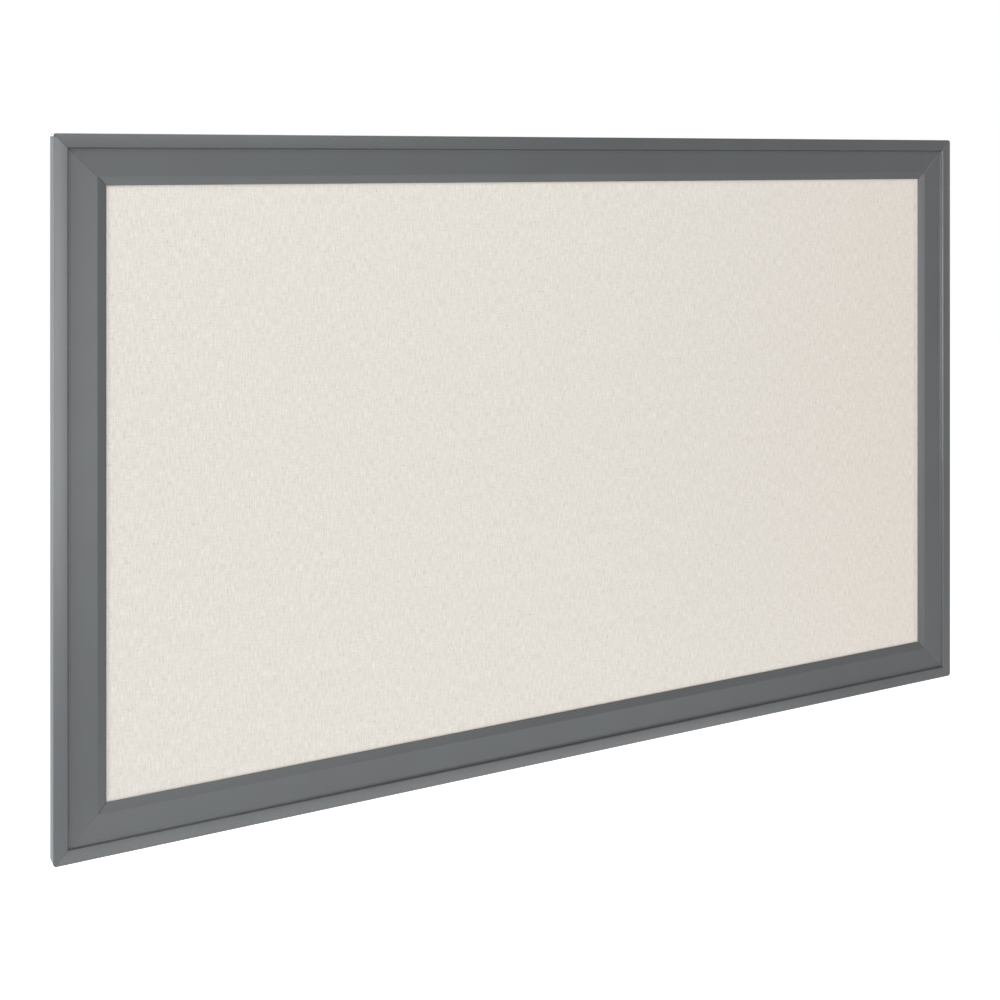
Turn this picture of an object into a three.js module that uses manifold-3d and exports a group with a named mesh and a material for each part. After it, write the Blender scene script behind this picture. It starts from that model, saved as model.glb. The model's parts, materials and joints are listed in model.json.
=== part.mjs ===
// A framed linen pinboard. A mitred moulding holds a linen-covered tack panel and a backing board in its
// rebate, and D-ring hangers and rubber bumpers on its back hold it on a wall.
// Millimetres. Seen from the front +X is to the right and +Z is up, and the linen faces -Y.
// The origin lies on the wall, midway between the two landscape hangers, at the height of their ring hinges.

import * as THREE from 'three';
import { mergeVertices } from 'three/addons/utils/BufferGeometryUtils.js';
import Module from 'manifold-3d';

const wasm = await Module();
wasm.setup();

// Outside of the frame
const boardWidth = 1092;
const boardHeight = 680;

// Clearances
const seatGap = 0.3; // between two pieces that rest on each other or fit into each other
const mitreGap = 0.2; // glue line across a mitre
const overrun = 2; // how far a cut runs past the face that it opens
const wallClearance = 1; // between the hangers and the wall

// Moulding section: widths run in from the outer edge, drops run back from the highest line of the front
const sightWidth = 49; // outer edge to sight edge
const bandWidth = 13.4; // crowned band along the outer edge, with its inner wall
const bandWallSlope = 0.6; // how far that wall leans in over its height
const bandFall = 1.4; // how far the crown falls away to the outer edge
const bandOuterRadius = 1;
const bandInnerRadius = 1.1;
const quirkWidth = 0.6; // fine groove at the foot of the band
const quirkDrop = 3.5;
const filletWidth = 1; // fine raised edge between the groove and the flat
const filletDrop = 2.6;
const filletSlope = 0.3;
const flatDrop = 3.1;
const bevelWidth = 8.7;
const bevelDrop = 2.9;
const bevelRadius = 0.8;
const lipThickness = 1; // wood left under the bevel at the sight edge
const lipRadius = 0.3;
const rebateWidth = 8;
const backRadius = 0.8;
const crownSteps = 8;
const roundSteps = 3;

// Panel in the rebate, from front to back
const linenThickness = 0.6;
const linenRise = 0.7; // how far the field of linen swells into the sight opening
const linenRiseInset = 0.5; // from the sight edge to the foot of the swelling
const linenRiseSlope = 0.9;
const linenTurn = 26; // linen turned over the back of the tack core
const coreThickness = 4.6;
const backingThickness = 2;
const panelSideGap = 1; // between the panel's edge and the rebate's wall
const backRecess = 1.2; // from the framer's points to the back of the frame

// Framer's points
const pointThickness = 0.5;
const pointWidth = 5.6;
const pointBite = 5.5; // driven into the rebate's wall
const pointReach = 9.5; // lying over the backing board
const pointNose = 2.6;
const pointTipWidth = 1.4;
const pointsPerRail = 5;
const pointsPerStile = 3;

// V-nails across the mitres
const vNailWing = 6;
const vNailThickness = 0.8;
const vNailHeight = 10;
const vNailHalfAngle = THREE.MathUtils.degToRad(50);
const vNailShares = [0.31, 0.73]; // of the solid back of the moulding

// D-ring hangers
const hangerDrop = 150; // from the edge that hangs uppermost to the ring's hinge
const strapWidth = 11;
const strapThickness = 1;
const strapBendRadius = 1.2; // reverse bend where the upper leaf leaves the loop
const strapTail = 5.4; // from the screw to the end of the strap
const loopSteps = 18;
const ringWire = 2.3;
const ringInnerWidth = 16;
const ringCornerRadius = 2.6;
const ringSideLength = 1.4;
const ringJoint = 0.5; // open joint of the wire, inside the strap's loop
const ringSteps = 46;
const ringSides = 10;

// Pan-head screws
const screwHeadDiameter = 7.2;
const screwHeadHeight = 2.1;
const screwHeadEdge = 0.9;
const screwDiameter = 3.5;
const screwLength = 12.7;
const screwTip = 3;
const screwRecessLength = 3.8;
const screwRecessWidth = 0.9;
const screwRecessDepth = 1.2;
const screwRound = 20;
const screwFromRing = 0.8; // clearance from the folded ring to the screw's head

// Bumpers
const bumperDiameter = 12.7;
const bumperTaper = 0.9;
const bumperRound = 0.8;
const bumperFromCorner = 72;
const bumperSides = 28;

// Sizes that follow
const rebateDrop = flatDrop + bevelDrop + lipThickness;
const wallInset = sightWidth - rebateWidth; // outer edge to the rebate's wall
const panelInset = wallInset + panelSideGap;
const panelWidth = boardWidth - 2 * panelInset;
const panelHeight = boardHeight - 2 * panelInset;
const linenFront = rebateDrop + seatGap;
const coreFront = linenFront + linenThickness + seatGap;
const coreBack = coreFront + coreThickness;
const linenBack = coreBack + seatGap + linenThickness;
const backingFront = linenBack + seatGap;
const backingBack = backingFront + backingThickness;
const pointFront = backingBack + seatGap;
const pointBack = pointFront + pointThickness;
const frameDepth = pointBack + backRecess;
const landMiddle = wallInset / 2; // outer edge to the middle of the flat back of the moulding

const wireRadius = ringWire / 2;
const loopInner = wireRadius + seatGap;
const loopMiddle = loopInner + strapThickness / 2;
const loopOuter = loopInner + strapThickness;
const hingeStand = seatGap + loopOuter; // hinge axis above the back of the frame
const lowerLeafTop = seatGap + strapThickness;
const upperLeafFoot = lowerLeafTop + seatGap;
const upperLeafTop = upperLeafFoot + strapThickness;
const ringHalfWidth = ringInnerWidth / 2 + wireRadius;
const ringReach = ringCornerRadius + ringSideLength + ringHalfWidth; // hinge axis to the middle of the bow
const ringRest = Math.asin((upperLeafTop + seatGap + wireRadius - hingeStand) / ringReach);
const screwPlace = ringReach + wireRadius + screwFromRing + screwHeadDiameter / 2;
const strapEnd = screwPlace + strapTail;
const hangerStand = Math.max(
  hingeStand + loopOuter,
  upperLeafTop + seatGap + ringWire,
  upperLeafTop + seatGap + screwHeadHeight,
);
const bumperHeight = hangerStand + wallClearance;

// Places in the row frame
const frameFront = -bumperHeight - frameDepth;
const boardMiddle = hangerDrop - boardHeight / 2;

const paint = new THREE.MeshStandardMaterial({ color: 0x6f7477, roughness: 0.45, metalness: 0 });
const linen = new THREE.MeshStandardMaterial({ color: 0xe3ddd4, roughness: 0.95, metalness: 0 });
const fibreboard = new THREE.MeshStandardMaterial({ color: 0xb49a76, roughness: 0.95, metalness: 0 });
const hardboard = new THREE.MeshStandardMaterial({ color: 0x7d5a3c, roughness: 0.7, metalness: 0 });
const springSteel = new THREE.MeshStandardMaterial({ color: 0x8c8f92, roughness: 0.4, metalness: 1 });
const zincSteel = new THREE.MeshStandardMaterial({ color: 0xc3c6c9, roughness: 0.3, metalness: 1 });
const rubber = new THREE.MeshStandardMaterial({ color: 0x2b2c2e, roughness: 0.8, metalness: 0 });

// Solids for cutting and joining

// A closed geometry as a solid: its vertices are merged and the triangles that shrink to nothing left out
function toSolid(geometry) {
  const bare = geometry.clone();
  bare.deleteAttribute('normal');
  bare.deleteAttribute('uv');
  const merged = mergeVertices(bare);
  const corners = Array.from(merged.index.array);
  const triangles = [];
  for (let i = 0; i < corners.length; i += 3) {
    const [a, b, c] = corners.slice(i, i + 3);
    if (a !== b && b !== c && c !== a) triangles.push(a, b, c);
  }
  const mesh = new wasm.Mesh({
    numProp: 3,
    vertProperties: new Float32Array(merged.attributes.position.array),
    triVerts: new Uint32Array(triangles),
  });
  return new wasm.Manifold(mesh);
}

function toGeometry(solid) {
  const mesh = solid.getMesh();
  const geometry = new THREE.BufferGeometry();
  geometry.setAttribute('position', new THREE.BufferAttribute(mesh.vertProperties, 3));
  geometry.setIndex(new THREE.BufferAttribute(mesh.triVerts, 1));
  geometry.computeVertexNormals();
  return geometry;
}

function cut(geometry, cutters) {
  const solid = cutters.reduce((rest, cutter) => rest.subtract(toSolid(cutter)), toSolid(geometry));
  return toGeometry(solid);
}

// Outlines and plain forms

// A shape through corners [x, y, radius]: a corner that has a radius is rounded by a curve
function roundedShape(corners) {
  const place = (i) => new THREE.Vector2().fromArray(corners[(i + corners.length) % corners.length]);
  const shape = new THREE.Shape();
  corners.forEach(([x, y, radius = 0], i) => {
    const corner = new THREE.Vector2(x, y);
    const towards = (other) => corner.clone().add(other.sub(corner).setLength(radius));
    const start = towards(place(i - 1));
    const end = towards(place(i + 1));
    if (i === 0) shape.moveTo(start.x, start.y);
    else shape.lineTo(start.x, start.y);
    if (radius > 0) shape.quadraticCurveTo(corner.x, corner.y, end.x, end.y);
  });
  return shape;
}

// An arc as points [x, y], from one angle to the other in equal steps, both ends included
function arc([x, y], radius, from, to, steps) {
  return Array.from({ length: steps + 1 }, (_, i) => {
    const angle = from + ((to - from) * i) / steps;
    return [x + radius * Math.cos(angle), y + radius * Math.sin(angle)];
  });
}

// A shape that lies in the X-Z plane, extruded from one depth to another along Y
function upright(shape, front, back) {
  const geometry = new THREE.ExtrudeGeometry(shape, {
    depth: back - front,
    curveSegments: roundSteps,
    bevelEnabled: false,
  });
  return geometry.rotateX(Math.PI / 2).translate(0, back, 0);
}

function box(width, front, back, height) {
  return new THREE.BoxGeometry(width, back - front, height).translate(0, (front + back) / 2, 0);
}

// A rod along Y
function rod(radius, front, back, sides) {
  const geometry = new THREE.CylinderGeometry(radius, radius, back - front, sides);
  return geometry.translate(0, (front + back) / 2, 0);
}

// A profile [radius, y] turned about the Y axis
function turned(profile, sides) {
  return new THREE.LatheGeometry(
    profile.map(([radius, y]) => new THREE.Vector2(radius, y)),
    sides,
  );
}

function piece(name, geometry, material) {
  const mesh = new THREE.Mesh(geometry, material);
  mesh.name = name;
  return mesh;
}

// Frame. Inside its group y is the depth behind the front, and the board's middle is at x = z = 0.

// The section as corners [inset from the outer edge, depth, radius]
function mouldingSection() {
  const bandTop = bandWidth - bandWallSlope;
  const crown = Array.from({ length: crownSteps - 1 }, (_, i) => {
    const share = (i + 1) / crownSteps;
    return [bandTop * share, bandFall * (1 - share) ** 2, 0];
  });
  const filletStart = bandWidth + quirkWidth;
  const flatStart = filletStart + filletWidth;
  return [
    [0, frameDepth, backRadius],
    [0, bandFall, bandOuterRadius],
    ...crown,
    [bandTop, 0, bandInnerRadius],
    [bandWidth, quirkDrop, 0],
    [filletStart, quirkDrop, 0],
    [filletStart, filletDrop, 0],
    [flatStart, filletDrop, 0],
    [flatStart + filletSlope, flatDrop, 0],
    [sightWidth - bevelWidth, flatDrop, bevelRadius],
    [sightWidth, flatDrop + bevelDrop, lipRadius],
    [sightWidth, rebateDrop, 0],
    [wallInset, rebateDrop, 0],
    [wallInset, frameDepth, backRadius],
  ];
}

// The outline of a V-nail in the X-Z plane: its crease at the origin, its wings towards +X
function vNailShape(clearance) {
  const half = vNailThickness / 2 + clearance;
  const wing = vNailWing + clearance;
  const along = new THREE.Vector2(Math.cos(vNailHalfAngle), Math.sin(vNailHalfAngle));
  const across = new THREE.Vector2(-along.y, along.x);
  const outer = along.clone().multiplyScalar(wing).addScaledVector(across, half);
  const inner = along.clone().multiplyScalar(wing).addScaledVector(across, -half);
  const crease = half / Math.sin(vNailHalfAngle);
  return roundedShape([
    [-crease, 0],
    [outer.x, -outer.y],
    [inner.x, -inner.y],
    [crease, 0],
    [inner.x, inner.y],
    [outer.x, outer.y],
  ]);
}

const vNailSolid = () => upright(vNailShape(0), frameDepth - vNailHeight, frameDepth);
const vNailPocket = () =>
  upright(vNailShape(seatGap), frameDepth - vNailHeight - seatGap, frameDepth + overrun);

// Where the V-nails of a corner lie: on the mitre, with their wings towards the outer corner
function vNailPlaces(width, height, sideX, sideZ) {
  return vNailShares.map((share) => ({
    x: sideX * (width / 2 - wallInset * share),
    z: sideZ * (height / 2 - wallInset * share),
    turn: -Math.atan2(sideZ, sideX),
  }));
}

// A framer's point in the X-Z plane: its root on the rebate's wall at z = 0, its nose in the wood towards +Z
function pointShape(clearance) {
  const half = pointWidth / 2 + clearance;
  const tip = pointTipWidth / 2 + clearance;
  const bite = pointBite + clearance;
  return roundedShape([
    [-half, -pointReach],
    [half, -pointReach],
    [half, bite - pointNose],
    [tip, bite],
    [-tip, bite],
    [-half, bite - pointNose],
  ]);
}

const pointSolid = () => upright(pointShape(0), pointFront, pointBack);
const pointSlot = () => upright(pointShape(seatGap), pointFront - seatGap, pointBack + seatGap);

// The points of a side are spaced evenly along the panel's edge
function pointPlaces(panelLength, count) {
  return Array.from({ length: count }, (_, i) => panelLength * ((i + 1 / 2) / count - 1 / 2));
}

// A length of moulding along X whose outer edge is its top. Each end of the straight extrusion is slid
// along X by the inset, which makes the mitre. Pockets take the V-nails, points and screw.
function moulding(length, across, panelLength, pointCount, screwPlaces) {
  const geometry = new THREE.ExtrudeGeometry(roundedShape(mouldingSection()), {
    depth: 1,
    curveSegments: roundSteps,
    bevelEnabled: false,
  });
  const half = length / 2 - mitreGap * Math.SQRT1_2;
  const position = geometry.attributes.position;
  for (let i = 0; i < position.count; i += 1) {
    const inset = position.getX(i);
    const depth = position.getY(i);
    const side = position.getZ(i) > 1 / 2 ? 1 : -1;
    position.setXYZ(i, side * (half - inset), depth, across / 2 - inset);
  }
  const pockets = [-1, 1].flatMap((side) =>
    vNailPlaces(length, across, side, 1).map(({ x, z, turn }) => vNailPocket().rotateY(turn).translate(x, 0, z)),
  );
  const slots = pointPlaces(panelLength, pointCount).map((x) =>
    pointSlot().translate(x, 0, across / 2 - wallInset),
  );
  const pilots = screwPlaces.map((x) =>
    screwHole(frameDepth - screwLength, frameDepth + overrun).translate(x, 0, across / 2 - landMiddle),
  );
  return cut(geometry, [...pockets, ...slots, ...pilots]);
}

function screwHole(front, back) {
  return rod(screwDiameter / 2 + seatGap, front, back, screwRound);
}

// The screws lie on the side of the hinge away from the edge that hangs uppermost. In a member's own
// frame x runs left to right along the top rail, and the member turns about Y to its side of the board.
function frameMembers() {
  const stileScrew = boardHeight / 2 - hangerDrop - screwPlace;
  const railScrew = boardWidth / 2 - hangerDrop - screwPlace;
  const rail = [boardWidth, boardHeight, panelWidth, pointsPerRail];
  const stile = [boardHeight, boardWidth, panelHeight, pointsPerStile];
  const members = [
    ['top', 'top_rail', 0, rail, -railScrew],
    ['right', 'right_stile', Math.PI / 2, stile, -stileScrew],
    ['bottom', 'bottom_rail', Math.PI, rail, railScrew],
    ['left', 'left_stile', -Math.PI / 2, stile, stileScrew],
  ];
  const group = new THREE.Group();
  members.forEach(([side, name, turn, sizes, screw]) => {
    const member = new THREE.Group();
    member.rotation.y = turn;
    member.add(piece(name, moulding(...sizes, [screw]), paint));
    const [, across, panelLength, count] = sizes;
    pointPlaces(panelLength, count).forEach((x, i) => {
      const point = piece(`flex_point_${side}_${i + 1}`, pointSolid(), springSteel);
      point.position.set(x, 0, across / 2 - wallInset);
      member.add(point);
    });
    group.add(member);
  });
  return group;
}

function vNails() {
  const group = new THREE.Group();
  const corners = { top_left: [-1, 1], top_right: [1, 1], bottom_left: [-1, -1], bottom_right: [1, -1] };
  const order = ['outer', 'inner'];
  Object.entries(corners).forEach(([corner, [sideX, sideZ]]) => {
    vNailPlaces(boardWidth, boardHeight, sideX, sideZ).forEach(({ x, z, turn }, i) => {
      const nail = piece(`v_nail_${corner}_${order[i]}`, vNailSolid(), springSteel);
      nail.position.set(x, 0, z);
      nail.rotation.y = turn;
      group.add(nail);
    });
  });
  return group;
}

// Panel

// A flat-topped swelling: a rectangle at the back that shrinks to a smaller one at the front
function swelling(width, height, slope, front, back) {
  const geometry = box(width, front, back, height);
  const position = geometry.attributes.position;
  const middle = (front + back) / 2;
  for (let i = 0; i < position.count; i += 1) {
    if (position.getY(i) > middle) continue;
    position.setX(i, position.getX(i) - Math.sign(position.getX(i)) * slope);
    position.setZ(i, position.getZ(i) - Math.sign(position.getZ(i)) * slope);
  }
  return geometry;
}

// The linen is one skin: the field in front, the four edges, and the turned-over margins behind the core
function linenCover() {
  const inside = linenThickness;
  const window = linenTurn + linenThickness;
  const skin = toSolid(box(panelWidth, linenFront, linenBack, panelHeight))
    .subtract(toSolid(box(
      panelWidth - 2 * inside,
      linenFront + linenThickness,
      linenBack - linenThickness,
      panelHeight - 2 * inside,
    )))
    .subtract(toSolid(box(
      panelWidth - 2 * window,
      coreBack,
      linenBack + overrun,
      panelHeight - 2 * window,
    )));
  const fieldInset = sightWidth + linenRiseInset;
  const field = swelling(
    boardWidth - 2 * fieldInset,
    boardHeight - 2 * fieldInset,
    linenRiseSlope,
    linenFront - linenRise,
    linenFront + linenThickness / 2,
  );
  return toGeometry(skin.add(toSolid(field)));
}

function panel() {
  const group = new THREE.Group();
  const coreInset = linenThickness + seatGap;
  const core = box(panelWidth - 2 * coreInset, coreFront, coreBack, panelHeight - 2 * coreInset);
  const backing = box(panelWidth, backingFront, backingBack, panelHeight);
  group.add(piece('linen_cover', linenCover(), linen));
  group.add(piece('tack_core', core, fibreboard));
  group.add(piece('backing_board', backing, hardboard));
  return group;
}

// Hangers. Inside a hanger's group x runs along the ring's hinge, y stands off the back of the frame, and
// the strap's tail points to -Z.

// The strap's side view as points [y, z]: one strip that runs up the frame, round the ring's leg and back
// down over itself, with a reverse bend where the upper leaf leaves the loop
function strapOutline() {
  const hinge = [hingeStand, 0];
  const lift = upperLeafFoot + strapThickness / 2 - hingeStand + strapBendRadius;
  const leave = Math.asin(lift / (loopMiddle + strapBendRadius));
  const reach = loopMiddle + strapBendRadius;
  const bend = [hingeStand + reach * Math.sin(leave), -reach * Math.cos(leave)];
  const outer = arc(hinge, loopOuter, Math.PI, -Math.PI / 2 + leave, loopSteps);
  const inner = arc(hinge, loopInner, -Math.PI / 2 + leave, Math.PI, loopSteps);
  const bendOuter = arc(bend, strapBendRadius - strapThickness / 2, Math.PI / 2 + leave, Math.PI, roundSteps);
  const bendInner = arc(bend, strapBendRadius + strapThickness / 2, Math.PI, Math.PI / 2 + leave, roundSteps);
  return [
    [seatGap, -strapEnd],
    ...outer,
    ...bendOuter.slice(1),
    [upperLeafTop, -strapEnd],
    [upperLeafFoot, -strapEnd],
    ...bendInner,
    ...inner.slice(1),
    [lowerLeafTop, -strapEnd],
  ];
}

function strap() {
  const sideView = new THREE.ExtrudeGeometry(
    new THREE.Shape(strapOutline().map(([y, z]) => new THREE.Vector2(y, z))),
    { depth: strapWidth, bevelEnabled: false },
  );
  const axes = [[0, 1, 0], [0, 0, 1], [1, 0, 0]].map((axis) => new THREE.Vector3(...axis));
  sideView.translate(0, 0, -strapWidth / 2).applyMatrix4(new THREE.Matrix4().makeBasis(...axes));
  const half = strapWidth / 2;
  const tail = arc([0, -strapEnd + half], half, 0, -Math.PI, screwRound);
  const plan = [[-half - overrun, loopOuter + overrun], [half + overrun, loopOuter + overrun]];
  const shoulder = -strapEnd + half;
  const outline = [...plan, [half + overrun, shoulder], ...tail, [-half - overrun, shoulder]];
  const planShape = new THREE.Shape(outline.map(([x, z]) => new THREE.Vector2(x, z)));
  const planSolid = toSolid(upright(planShape, -overrun, hingeStand + loopOuter + overrun));
  const hole = screwHole(-overrun, upperLeafTop + overrun).translate(0, 0, -screwPlace);
  return toGeometry(toSolid(sideView).intersect(planSolid).subtract(toSolid(hole)));
}

// A circular arc in the X-Z plane
class FlatArc extends THREE.Curve {
  constructor(centre, radius, from, to) {
    super();
    Object.assign(this, { centre, radius, from, to });
  }

  getPoint(t, target = new THREE.Vector3()) {
    const angle = this.from + (this.to - this.from) * t;
    const [x, z] = this.centre;
    return target.set(x + this.radius * Math.cos(angle), 0, z + this.radius * Math.sin(angle));
  }
}

// The ring is one wire bent to a D. Its ends meet in the middle of the straight leg, inside the loop.
function ring() {
  const corner = ringHalfWidth - ringCornerRadius;
  const bow = -ringCornerRadius - ringSideLength;
  const at = (x, z) => new THREE.Vector3(x, 0, z);
  const right = Math.PI / 2;
  const path = new THREE.CurvePath();
  path.add(new THREE.LineCurve3(at(ringJoint / 2, 0), at(corner, 0)));
  path.add(new FlatArc([corner, -ringCornerRadius], ringCornerRadius, right, 0));
  path.add(new THREE.LineCurve3(at(ringHalfWidth, -ringCornerRadius), at(ringHalfWidth, bow)));
  path.add(new FlatArc([0, bow], ringHalfWidth, 0, -Math.PI));
  path.add(new THREE.LineCurve3(at(-ringHalfWidth, bow), at(-ringHalfWidth, -ringCornerRadius)));
  path.add(new FlatArc([-corner, -ringCornerRadius], ringCornerRadius, Math.PI, right));
  path.add(new THREE.LineCurve3(at(-corner, 0), at(-ringJoint / 2, 0)));
  const round = arc([0, 0], wireRadius, 0, 2 * Math.PI, ringSides).slice(1);
  const section = new THREE.Shape(round.map(([x, y]) => new THREE.Vector2(x, y)));
  return new THREE.ExtrudeGeometry(section, { steps: ringSteps, extrudePath: path, bevelEnabled: false });
}

// A pan-head screw whose head rests on y = 0, with a crossed recess
function screw() {
  const headRadius = screwHeadDiameter / 2;
  const shankRadius = screwDiameter / 2;
  const dome = Array.from({ length: roundSteps + 1 }, (_, i) => {
    const angle = (i / roundSteps) * (Math.PI / 2);
    const rise = screwHeadHeight - screwHeadEdge;
    return [headRadius * Math.cos(angle), screwHeadEdge + rise * Math.sin(angle)];
  });
  dome[dome.length - 1][0] = 0;
  const body = turned([
    [0, -screwLength],
    [shankRadius, -screwLength + screwTip],
    [shankRadius, 0],
    [headRadius, 0],
    ...dome,
  ], screwRound);
  const recess = [0, Math.PI / 2].map((turn) =>
    box(screwRecessLength, screwHeadHeight - screwRecessDepth, screwHeadHeight + overrun, screwRecessWidth)
      .rotateY(turn),
  );
  return cut(body, recess);
}

function hanger(name) {
  const group = new THREE.Group();
  const ringMesh = piece(`${name}_ring`, ring(), zincSteel);
  ringMesh.position.y = hingeStand;
  ringMesh.rotation.x = ringRest;
  const screwMesh = piece(`${name}_screw`, screw(), zincSteel);
  screwMesh.position.set(0, upperLeafTop + seatGap, -screwPlace);
  group.add(piece(`${name}_strap`, strap(), zincSteel), ringMesh, screwMesh);
  return group;
}

// The landscape hangers are on the stiles, and the portrait ones on the rails towards the left edge
function hangers() {
  const group = new THREE.Group();
  const stileX = boardWidth / 2 - landMiddle;
  const railZ = boardHeight / 2 - landMiddle;
  const railX = -boardWidth / 2 + hangerDrop;
  const stileZ = boardHeight / 2 - hangerDrop;
  const places = [
    ['landscape_hanger_left', -stileX, stileZ, 0],
    ['landscape_hanger_right', stileX, stileZ, 0],
    ['portrait_hanger_top', railX, railZ, -Math.PI / 2],
    ['portrait_hanger_bottom', railX, -railZ, -Math.PI / 2],
  ];
  places.forEach(([name, x, z, turn]) => {
    const one = hanger(name);
    one.position.set(x, frameDepth, z);
    one.rotation.y = turn;
    group.add(one);
  });
  return group;
}

// Bumpers

function bumper() {
  const foot = bumperDiameter / 2;
  const top = foot - bumperTaper;
  return turned([
    [0, seatGap],
    [foot, seatGap],
    [top, bumperHeight - bumperRound],
    [top - bumperRound, bumperHeight],
    [0, bumperHeight],
  ], bumperSides);
}

function bumpers() {
  const group = new THREE.Group();
  const x = boardWidth / 2 - bumperFromCorner;
  const z = boardHeight / 2 - landMiddle;
  const places = { top_left: [-x, z], top_right: [x, z], bottom_left: [-x, -z], bottom_right: [x, -z] };
  Object.entries(places).forEach(([corner, [placeX, placeZ]]) => {
    const one = piece(`bumper_${corner}`, bumper(), rubber);
    one.position.set(placeX, frameDepth, placeZ);
    group.add(one);
  });
  return group;
}

const pinboard = new THREE.Group();
pinboard.position.set(0, frameFront, boardMiddle);
pinboard.add(frameMembers(), vNails(), panel(), hangers(), bumpers());

export default pinboard;
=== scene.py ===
"""A framed linen pinboard: a grey painted moulding around a field of natural linen, with its hanging hardware
on the back.

Metres throughout, in the frame's own axes: +X is to the right seen from the front, +Z is up, and the linen
faces -Y. Sizes that are easier to read in millimetres are written as numbers times MM.
"""
import json
import math

import bmesh
import bpy
import numpy as np
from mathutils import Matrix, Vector


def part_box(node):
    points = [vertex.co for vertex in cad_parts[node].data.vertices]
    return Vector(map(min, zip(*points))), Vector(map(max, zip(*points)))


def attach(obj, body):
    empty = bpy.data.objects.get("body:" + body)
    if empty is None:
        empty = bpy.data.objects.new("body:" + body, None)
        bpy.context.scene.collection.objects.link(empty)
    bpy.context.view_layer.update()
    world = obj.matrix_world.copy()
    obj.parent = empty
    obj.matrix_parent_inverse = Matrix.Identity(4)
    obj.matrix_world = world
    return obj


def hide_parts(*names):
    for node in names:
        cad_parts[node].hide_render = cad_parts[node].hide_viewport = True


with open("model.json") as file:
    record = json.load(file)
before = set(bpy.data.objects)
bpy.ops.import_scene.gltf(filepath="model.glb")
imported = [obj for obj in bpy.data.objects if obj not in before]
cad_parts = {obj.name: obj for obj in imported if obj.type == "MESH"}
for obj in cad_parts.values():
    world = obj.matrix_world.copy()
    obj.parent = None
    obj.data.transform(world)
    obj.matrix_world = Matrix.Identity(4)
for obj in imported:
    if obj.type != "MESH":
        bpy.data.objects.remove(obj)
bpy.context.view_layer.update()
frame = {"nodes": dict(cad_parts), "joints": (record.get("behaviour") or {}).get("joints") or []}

MM = 0.001

# Outside of the frame, from the solids
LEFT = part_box("left_stile")[0].x
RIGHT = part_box("right_stile")[1].x
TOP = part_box("top_rail")[1].z
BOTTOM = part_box("bottom_rail")[0].z
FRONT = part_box("top_rail")[0].y
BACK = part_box("top_rail")[1].y
MIDDLE = (LEFT + RIGHT) / 2
MID_HEIGHT = (TOP + BOTTOM) / 2
DEPTH = BACK - FRONT

# Moulding section: insets from the outer edge, drops from the highest line of the front. It is the solids'
# own section, with the narrow groove beside the band part filled by paint.
SIGHT = 49 * MM  # from the outer edge to the sight edge
BAND = 13.7 * MM
BAND_SLOPE = 0.6 * MM
BAND_FALL = 1.4 * MM  # how far the crowned outer band falls away to the outer edge
QUIRK = 0.5 * MM  # the groove beside the band
QUIRK_DROP = 2.9 * MM
FILLET = 1 * MM  # the raised edge beside the groove
FILLET_DROP = 2.6 * MM
FILLET_SLOPE = 0.3 * MM
FLAT_DROP = 3.1 * MM
BEVEL = 8.7 * MM
BEVEL_DROP = 2.9 * MM
LIP = 1 * MM  # the thickness left at the sight edge
REBATE = 8 * MM  # how far the lip covers the panel
CORNER_RADIUS = 3.2 * MM  # the frame's outer corners, rubbed round before painting
PAINT_TURN = 1 * MM  # how far the paint is carried round onto the back
BACK_SHRINK = 0.05 * MM  # raw wood drawn back from the steel that is driven flush into it
MITRE_EASE = 0.6 * MM  # how far from the mitre the filled joint eases back
MITRE_DEPTH = 0.28 * MM  # and by how much

# Linen
LINEN_THICKNESS = 0.6 * MM
LINEN_EDGE = 1 * MM  # the radius on which it turns round the panel's edges
LINEN_TURN = 26 * MM  # how far it is carried in behind the panel
LINEN_MARGIN = FRONT + 7.3 * MM  # where its face lies under the moulding's lip
SWELL_REACH = 7 * MM  # how far inside the sight edge the cloth reaches its full height
SWELL_WAVE = 0.04 * MM  # the height of its broad waves
FINE_STEP = 0.8 * MM  # its mesh near the edges
BROAD_STEP = 5 * MM  # its mesh in the middle

# Hangers
STRAP_WIDTH = 11 * MM
STRAP_THICKNESS = 1 * MM
STRAP_BEND = 1.2 * MM  # the radius of the bend that brings the loop back down to the upper leaf
UPPER_LEAF = 2.1 * MM  # from the frame's back to the middle of the upper leaf's thickness
LEAF_START = 6 * MM  # how far from the hinge the straight of each leaf starts
WIRE = 1.15 * MM  # the radius of the ring's wire
PLAY = 0.3 * MM  # between the ring and its strap
LOOP = WIRE + PLAY + STRAP_THICKNESS / 2
RING_HALF_WIDTH = 8 * MM + WIRE
RING_CORNER = 2.6 * MM  # the radius of the corners beside its straight leg
RING_SIDE = 1.4 * MM  # the straight between such a corner and the bow
RING_JOINT = 0.5 * MM  # the gap where the wire's ends meet, inside the loop

# Screws
HEAD_RIM = 0.9 * MM  # the height of the head's edge
HEAD_DOME = 1.2 * MM  # the height of the dome over it
RECESS_DEPTH = 1.1 * MM
RECESS_BAR = 0.55 * MM  # half the width of each bar of the crossed recess
RECESS_REACH = 2 * MM  # half its length
SHANK_RADIUS = 1.75 * MM
SHANK_LENGTH = 9.7 * MM
POINT_LENGTH = 3 * MM

# Bumpers
BUMPER_TAPER = 0.9 * MM  # how much narrower the top is than the foot, in radius
BUMPER_ROUND = 1 * MM
BUMPER_EASE = 0.3 * MM  # at the foot's edge
PINHOLE = 0.05 * MM  # the radius at which a turned shape's end is closed by a face


# Shapes

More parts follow.
